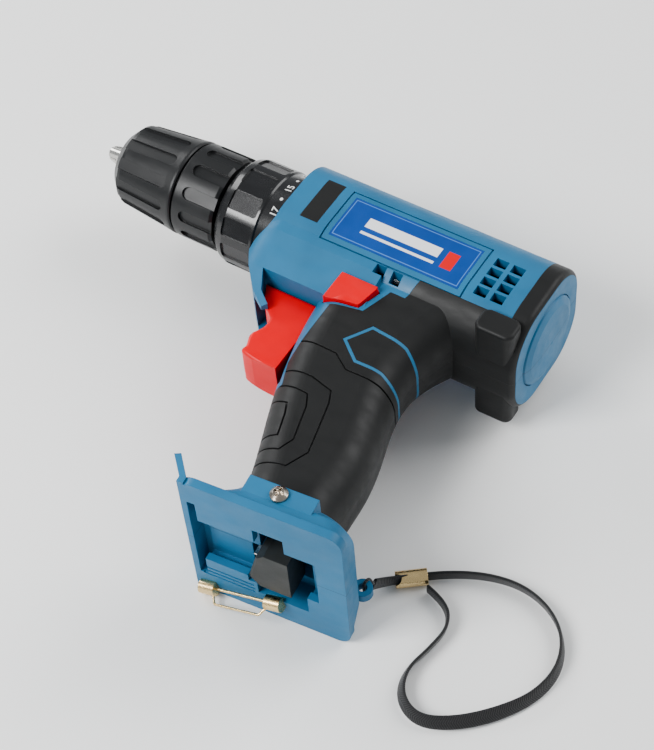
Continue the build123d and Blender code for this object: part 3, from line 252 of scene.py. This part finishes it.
def metal(name, colour, rough, stretch=(1, 1, 1), scale=900, tarnish=0.75):
    """Machined or plated metal with tool marks along one direction and faint tarnish."""
    material, tree, shader = new_material(name, Metallic=1.0)
    marks = noise(tree, scale, 5, stretch=stretch, roughness=0.65)
    stain = noise(tree, 240, 4)
    edges, rounded = edge_mask(tree, 0.2 * MM)
    base = mix_colour(tree, ramp(tree, stain, 0.35, 0.75), colour, tuple(c * tarnish for c in colour))
    bright = tuple(min(1, c * 1.2) for c in colour)
    base = mix_colour(tree, math_node(tree, "MULTIPLY", edges, 0.5), base, bright)
    tree.links.new(base, shader.inputs["Base Color"])
    tree.links.new(ramp(tree, marks, 0.25, 0.75, rough - 0.08, rough + 0.12), shader.inputs["Roughness"])
    tree.links.new(bump(tree, marks, 0.25, 0.02 * MM, rounded), shader.inputs["Normal"])
    return material


def past(tree, value, centre, half):
    """How far a socket's value lies past half a width either side of a centre."""
    away = math_node(tree, "ABSOLUTE", math_node(tree, "SUBTRACT", value, centre))
    return math_node(tree, "SUBTRACT", away, half)


def inside_box(tree, x, y, centre, half):
    """1 inside an upright rectangle of the drill's side."""
    over = math_node(tree, "MAXIMUM", past(tree, x, centre[0], half[0]), past(tree, y, centre[1], half[1]))
    return ramp(tree, over, PRINT_EDGE, -PRINT_EDGE)


def label_material():
    """Printed royal-blue plate with a plain frame line and neutral bars."""
    material, tree, shader = new_material("label_print", Specular_IOR_Level=0.35)
    low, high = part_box("side_labels")
    centre = ((low.x + high.x) / 2, (low.y + high.y) / 2)
    half = ((high.x - low.x) / 2, (high.y - low.y) / 2)
    x, y, _ = frame_axes(tree)
    outer = inside_box(tree, x, y, centre, (half[0] - LINE_OUTER, half[1] - LINE_OUTER))
    inner = inside_box(tree, x, y, centre, (half[0] - LINE_INNER, half[1] - LINE_INNER))
    line = math_node(tree, "SUBTRACT", outer, inner)
    marks = []
    for (along, up), mark_half in (WIDE_BAR, THIN_BAR, RED_MARK):
        marks.append(inside_box(tree, x, y, (centre[0] + along, centre[1] + up), mark_half))
    wide_bar, thin_bar, red_mark = marks
    white = math_node(tree, "MAXIMUM", wide_bar, thin_bar)
    cloud = ramp(tree, noise(tree, 60, 3), 0.3, 0.7)
    base = mix_colour(tree, cloud, (0.010, 0.062, 0.27), (0.014, 0.078, 0.32))
    base = mix_colour(tree, line, base, (0.10, 0.24, 0.55))
    base = mix_colour(tree, white, base, (0.80, 0.82, 0.84))
    base = mix_colour(tree, red_mark, base, (0.72, 0.02, 0.02))
    tree.links.new(base, shader.inputs["Base Color"])
    fine = noise(tree, 2400, 3)
    tree.links.new(ramp(tree, noise(tree, 200, 4), 0.3, 0.7, 0.34, 0.46), shader.inputs["Roughness"])
    rounded = edge_mask(tree, 0.25 * MM)[1]
    tree.links.new(bump(tree, fine, 0.12, 0.03 * MM, rounded), shader.inputs["Normal"])
    return material


def lens_material():
    """Clear moulded lens with faint scratches."""
    material, tree, shader = new_material("lens_clear", Transmission_Weight=0.9, IOR=1.49)
    shader.inputs["Base Color"].default_value = (0.86, 0.9, 0.92, 1.0)
    marks = noise(tree, 1500, 5, stretch=(1, 4, 1))
    tree.links.new(ramp(tree, marks, 0.4, 0.8, 0.04, 0.22), shader.inputs["Roughness"])
    tree.links.new(bump(tree, marks, 0.1, 0.02 * MM), shader.inputs["Normal"])
    return material


def webbing_material():
    """Black woven tape: slanted picks along the strap and fuzz, from the strip's own coordinates."""
    material, tree, shader = new_material("strap_weave", Sheen_Weight=0.35, Sheen_Roughness=0.5)
    place = node(tree, "ShaderNodeAttribute", attribute_name="strip")
    split = node(tree, "ShaderNodeSeparateXYZ")
    tree.links.new(place.outputs["Vector"], split.inputs[0])
    along, across = split.outputs["X"], split.outputs["Y"]
    slant = math_node(tree, "ABSOLUTE", across)
    phase = math_node(tree, "ADD", math_node(tree, "MULTIPLY", along, 2 * math.pi / PICK_PITCH),
                      math_node(tree, "MULTIPLY", slant, 2 * math.pi / PICK_SLANT))
    picks = ramp(tree, math_node(tree, "SINE", phase), -1, 1)
    rib_phase = math_node(tree, "MULTIPLY", across, 2 * math.pi / RIB_PITCH)
    ribs = ramp(tree, math_node(tree, "SINE", rib_phase), -1, 1)
    half_ribs = math_node(tree, "ADD", math_node(tree, "MULTIPLY", ribs, 0.5), 0.5)
    weave = math_node(tree, "MULTIPLY", picks, half_ribs)
    base = mix_colour(tree, weave, (0.006, 0.006, 0.007), (0.030, 0.030, 0.032))
    tree.links.new(base, shader.inputs["Base Color"])
    tree.links.new(ramp(tree, weave, 0, 1, 0.85, 0.6), shader.inputs["Roughness"])
    height = math_node(tree, "ADD", weave, math_node(tree, "MULTIPLY", noise(tree, 5000, 2), 0.3))
    tree.links.new(bump(tree, height, 0.8, 0.15 * MM), shader.inputs["Normal"])
    return material


def dress_frame():
    """Give every CAD node the material of its slot in the record."""
    lathe = (6.0, 0.25, 0.25)
    made = {
        "housing_blue": moulded("shell_blue", (0.034, 0.180, 0.335), 0.44, seam=True,
                                Specular_IOR_Level=0.4),
        "grip_rubber": moulded("grip_rubber", (0.0145, 0.0150, 0.0150), 0.50, grain=2600, relief=0.4,
                               worn=0.35, seam=True, Sheen_Weight=0.06, Sheen_Roughness=0.4,
                               Specular_IOR_Level=0.4),
        "label_blue": label_material(),
        "red_plastic": moulded("trigger_red", (0.80, 0.010, 0.012), 0.36, grain=2200, relief=0.12,
                               worn=0.12, Specular_IOR_Level=0.4),
        "chuck_black": moulded("chuck_black", (0.017, 0.018, 0.019), 0.34, grain=2200, relief=0.2,
                               worn=0.5),
        "ring_black": moulded("ring_black", (0.014, 0.0145, 0.016), 0.22, grain=1500, relief=0.08,
                              worn=0.3, Coat_Weight=0.4, Coat_Roughness=0.1),
        "steel": metal("steel_ground", (0.66, 0.65, 0.62), 0.26, stretch=lathe),
        "screw_steel": metal("screw_zinc", (0.52, 0.46, 0.39), 0.22, scale=1500),
        "brass": metal("brass_bright", (0.86, 0.66, 0.36), 0.25, stretch=(1, 3, 3), tarnish=0.85),
        "terminal_grey": moulded("terminal_grey", (0.036, 0.039, 0.038), 0.5, grain=1400, relief=0.35),
        "copper": metal("copper_wire", (0.72, 0.36, 0.18), 0.32, stretch=(8, 1, 1)),
        "magnet": moulded("magnet_ferrite", (0.030, 0.030, 0.032), 0.7, grain=1200, relief=0.5),
        "gear_steel": metal("gear_sintered", (0.42, 0.42, 0.43), 0.38, scale=1600),
        "case_black": moulded("case_nylon", (0.026, 0.026, 0.028), 0.5, grain=1300, relief=0.35),
        "clear_lens": lens_material(),
        "led_white": moulded("led_body", (0.80, 0.80, 0.76), 0.25, relief=0.05, worn=0.0),
        "lead_insulation": moulded("lead_pvc", (0.72, 0.72, 0.68), 0.45, grain=900, relief=0.1, worn=0.0),
        "strap_webbing": moulded("strap_plain", (0.015, 0.015, 0.016), 0.8, grain=1600, relief=0.6),
        "carbon": moulded("brush_carbon", (0.022, 0.022, 0.023), 0.6, grain=2600, relief=0.4),
    }
    slots = {row["node"]: row["material_slot"] for row in frame["record"]["subparts"]}
    for name, item in frame["nodes"].items():
        item.data.materials.clear()
        item.data.materials.append(made[slots[name]])


# ---- pieces ----
def add_mesh(name, mesh, material, body):
    """Finished piece from mesh data, riding on a body."""
    piece = bpy.data.objects.new(name, mesh)
    bpy.context.scene.collection.objects.link(piece)
    mesh.materials.append(material)
    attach(piece, body)
    return piece


def smooth_route(points, closed=False):
    """Points along a smooth curve guided by a given route, in metres."""
    curve = bpy.data.curves.new("route", "CURVE")
    curve.dimensions = "3D"
    spline = curve.splines.new("NURBS")
    spline.points.add(len(points) - 1)
    for target, point in zip(spline.points, points):
        target.co = (*point, 1.0)
    spline.order_u = 3
    spline.use_endpoint_u = not closed
    spline.use_cyclic_u = closed
    spline.resolution_u = 10
    holder = bpy.data.objects.new("route", curve)
    bpy.context.scene.collection.objects.link(holder)
    bpy.context.view_layer.update()
    mesh = bpy.data.meshes.new_from_object(holder.evaluated_get(bpy.context.evaluated_depsgraph_get()))
    path = [vertex.co.copy() for vertex in mesh.vertices]
    bpy.data.objects.remove(holder)
    bpy.data.curves.remove(curve)
    bpy.data.meshes.remove(mesh)
    return path


def resampled(path, step):
    """The same path with points a fixed step apart."""
    made = [path[0]]
    carried = 0.0
    for a, b in zip(path, path[1:]):
        run = (b - a).length
        place = step - carried
        while place < run:
            made.append(a.lerp(b, place / run))
            place += step
        carried = run - (place - step)
    if (path[-1] - made[-1]).length > step * 0.3:
        made.append(path[-1])
    return made


def lean_at(share):
    """How far the tape leans over, in radians, at a share of its length."""
    for (a, low), (b, high) in zip(STRAP_LEANS, STRAP_LEANS[1:]):
        if share <= b:
            way = (share - a) / (b - a)
            return math.radians(low + (high - low) * way * way * (3 - 2 * way))
    return 0.0


def swept(name, path, ring, up, closed=False, lean=None):
    """Skin of a cross-section swept along a path.

    ring(distance) gives the section's (across, out) pairs, and lean(share) how far it turns.
    """
    mesh = bpy.data.meshes.new(name)
    work = bmesh.new()
    strip = work.verts.layers.float_vector.new("strip")
    rows = []
    distance = 0.0
    for index, point in enumerate(path):
        before = path[index - 1] if closed or index else path[0]
        after = path[(index + 1) % len(path)] if closed or index + 1 < len(path) else path[-1]
        along = (after - before).normalized()
        wide = (up - along * up.dot(along)).normalized()
        if lean:
            wide = Matrix.Rotation(lean(index / len(path)), 3, along) @ wide
        out = wide.cross(along)
        if index:
            distance += (point - path[index - 1]).length
        row = []
        for across, off in ring(distance):
            vertex = work.verts.new(point + wide * across + out * off)
            vertex[strip] = (distance, across, off)
            row.append(vertex)
        rows.append(row)
    count = len(rows[0])
    pairs = list(zip(rows, rows[1:])) + ([(rows[-1], rows[0])] if closed else [])
    for a, b in pairs:
        for k in range(count):
            work.faces.new((a[k], a[(k + 1) % count], b[(k + 1) % count], b[k]))
    if not closed:
        work.faces.new(rows[0])
        work.faces.new(list(reversed(rows[-1])))
    bmesh.ops.recalc_face_normals(work, faces=work.faces)
    for face in work.faces:
        face.smooth = len(face.verts) == 4
    work.to_mesh(mesh)
    work.free()
    return mesh


def tape_section(distance):
    """Flat woven tape's section, its edges scalloped by the weave."""
    swell = 1.0 + 0.02 * math.sin(2 * math.pi * distance / PICK_PITCH)
    half_width = STRAP_WIDTH / 2 * 0.97 * swell
    half_thick = STRAP_THICKNESS / 2
    section = []
    for k in range(TAPE_SIDES):
        angle = 2 * math.pi * k / TAPE_SIDES
        c, s = math.cos(angle), math.sin(angle)
        across = half_width * math.copysign(abs(c) ** 0.5, c)
        section.append((across, half_thick * math.copysign(abs(s) ** 0.7, s)))
    return section


def cord_section(distance):
    """Round cord's section, the same at every distance."""
    angles = [2 * math.pi * k / CORD_SIDES for k in range(CORD_SIDES)]
    return [(CORD_R * math.cos(angle), CORD_R * math.sin(angle)) for angle in angles]


def tie_route(start):
    """Closed route of the thin cord, from the strap's end through the eye and back."""
    from_strap = ((0, 1.6, 0.2), (0.4, -0.8, 1.6))
    through_eye = (
        (0.5, 4.9, 1.2), (0.2, 3.6, 3.3), (0, 1.1, 3.3), (0, 0.7, 0), (-0.1, 1.1, -3.3), (-0.2, 3.6, -3.6),
    )
    to_strap = ((-0.4, -0.9, -0.6),)
    route = [start + Vector(step) * MM for step in from_strap]
    route += [EYE + Vector(step) * MM for step in through_eye]
    route += [start + Vector(step) * MM for step in to_strap]
    return route


def wrist_strap():
    """Flat strap on its edge, leaning over in its lower bend, and the thin cord that ties it in the eye."""
    route = [Vector(point) * MM for point in STRAP_ROUTE]
    path = resampled(smooth_route(route), TAPE_STEP)
    weave = webbing_material()
    tape = swept("strap_tape", path, tape_section, Vector((0, 0, 1)), lean=lean_at)
    strap = add_mesh("strap_tape", tape, weave, "root")
    start = path[0]
    tie_path = resampled(smooth_route(tie_route(start), closed=True), CORD_STEP)
    tie = swept("strap_cord", tie_path, cord_section, Vector((1, 0, 0)), closed=True)
    cord = add_mesh("strap_cord", tie, weave, "root")
    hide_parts("wrist_strap")


def ring_mark(name, text, angle, size, material):
    """One printed mark bent round the torque ring's rear band, its top towards the chuck."""
    low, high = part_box("torque_ring")
    rear_radius = (high.y - low.y) / 2
    curve = bpy.data.curves.new(name, "FONT")
    curve.body = text
    curve.size = size
    curve.align_x = "CENTER"
    curve.align_y = "CENTER"
    curve.extrude = PRINT_DEPTH
    curve.offset = 0.02 * size
    holder = bpy.data.objects.new(name, curve)
    bpy.context.scene.collection.objects.link(holder)
    bpy.context.view_layer.update()
    mesh = bpy.data.meshes.new_from_object(holder.evaluated_get(bpy.context.evaluated_depsgraph_get()))
    bpy.data.objects.remove(holder)
    bpy.data.curves.remove(curve)
    for vertex in mesh.vertices:
        across, up, out = vertex.co
        x = high.x - NUMBER_INSET - up
        radius = rear_radius - BAND_SLOPE * (high.x - x) + out + PRINT_LIFT
        turn = math.radians(angle) - across / rear_radius
        vertex.co = (x, radius * math.cos(turn), radius * math.sin(turn))
    add_mesh(name, mesh, material, "torque_ring")


def ring_numbers():
    """Odd settings as numbers and even ones as dots, round the torque ring."""
    ink = moulded("ring_ink", (0.82, 0.82, 0.80), 0.45, relief=0.1, worn=0.0)
    for number in range(1, LAST_NUMBER + 1):
        angle = LAST_ANGLE - (LAST_NUMBER - number) * STEP_ANGLE
        if number % 2:
            ring_mark(f"ring_number_{number}", str(number), angle, DIGIT_SIZE, ink)
        else:
            ring_mark(f"ring_dot_{number}", "•", angle, DOT_SIZE, ink)


# ---- stage ----
def floor():
    """Plain pale floor under the drill."""
    mesh = bpy.data.meshes.new("floor")
    height = cad_box[0].z - FLOOR_GAP
    corners = [(x * FLOOR_REACH, y * FLOOR_REACH, height) for x, y in ((-1, -1), (1, -1), (1, 1), (-1, 1))]
    mesh.from_pydata(corners, [], [(0, 1, 2, 3)])
    plane = bpy.data.objects.new("floor", mesh)
    bpy.context.scene.collection.objects.link(plane)
    material, tree, shader = new_material("floor_paper")
    shader.inputs["Base Color"].default_value = (0.92, 0.92, 0.91, 1.0)
    tree.links.new(ramp(tree, noise(tree, 30, 3), 0.3, 0.7, 0.6, 0.75), shader.inputs["Roughness"])
    mesh.materials.append(material)


def soft_light(name, place, target, size, power):
    """Square area light aimed at a point."""
    lamp = bpy.data.lights.new(name, "AREA")
    lamp.size = size
    lamp.energy = power
    holder = bpy.data.objects.new(name, lamp)
    holder.location = place
    holder.rotation_euler = (Vector(target) - Vector(place)).to_track_quat("-Z", "Y").to_euler()
    bpy.context.scene.collection.objects.link(holder)


def lights(centre):
    """Soft key from the chuck's side, a fill over the drill's top, a low rim light and pale surroundings."""
    soft_light("key", centre + KEY_PLACE, centre, 0.55, KEY_POWER)
    soft_light("fill", centre + FILL_PLACE, centre, 1.0, FILL_POWER)
    soft_light("rim", centre + RIM_PLACE, centre, 0.5, RIM_POWER)
    world = bpy.data.worlds.new("studio")
    world.use_nodes = True
    world.node_tree.nodes["Background"].inputs["Color"].default_value = (0.94, 0.97, 1.0, 1.0)
    world.node_tree.nodes["Background"].inputs["Strength"].default_value = SKY_STRENGTH
    bpy.context.scene.world = world
    bpy.context.scene.view_settings.look = "AgX - Medium High Contrast"


def camera(target):
    """Camera where the photographer stood, turned to the drill with the same roll."""
    azimuth, elevation, roll = (math.radians(v) for v in (CAMERA_AZIMUTH, CAMERA_ELEVATION, CAMERA_ROLL))
    first = Vector((-math.sin(azimuth) * math.cos(elevation), math.cos(azimuth) * math.cos(elevation),
                    -math.sin(elevation)))
    level_right = first.cross(Vector((0, 0, 1))).normalized()
    level_down = first.cross(level_right)
    right = level_right * math.cos(roll) + level_down * math.sin(roll)
    ahead = (target - CAMERA_PLACE).normalized()
    right = (right - ahead * right.dot(ahead)).normalized()
    up = right.cross(ahead)
    lens = bpy.data.cameras.new("camera")
    lens.lens = CAMERA_LENS
    lens.clip_start, lens.clip_end = 0.01, 20.0
    holder = bpy.data.objects.new("camera", lens)
    holder.matrix_world = Matrix.LocRotScale(CAMERA_PLACE, Matrix((right, up, -ahead)).transposed(), None)
    bpy.context.scene.collection.objects.link(holder)
    bpy.context.scene.camera = holder


dress_frame()
wrist_strap()
ring_numbers()
floor()
middle = (cad_box[0] + cad_box[1]) / 2
lights(middle)
camera(middle + AIM_SHIFT)
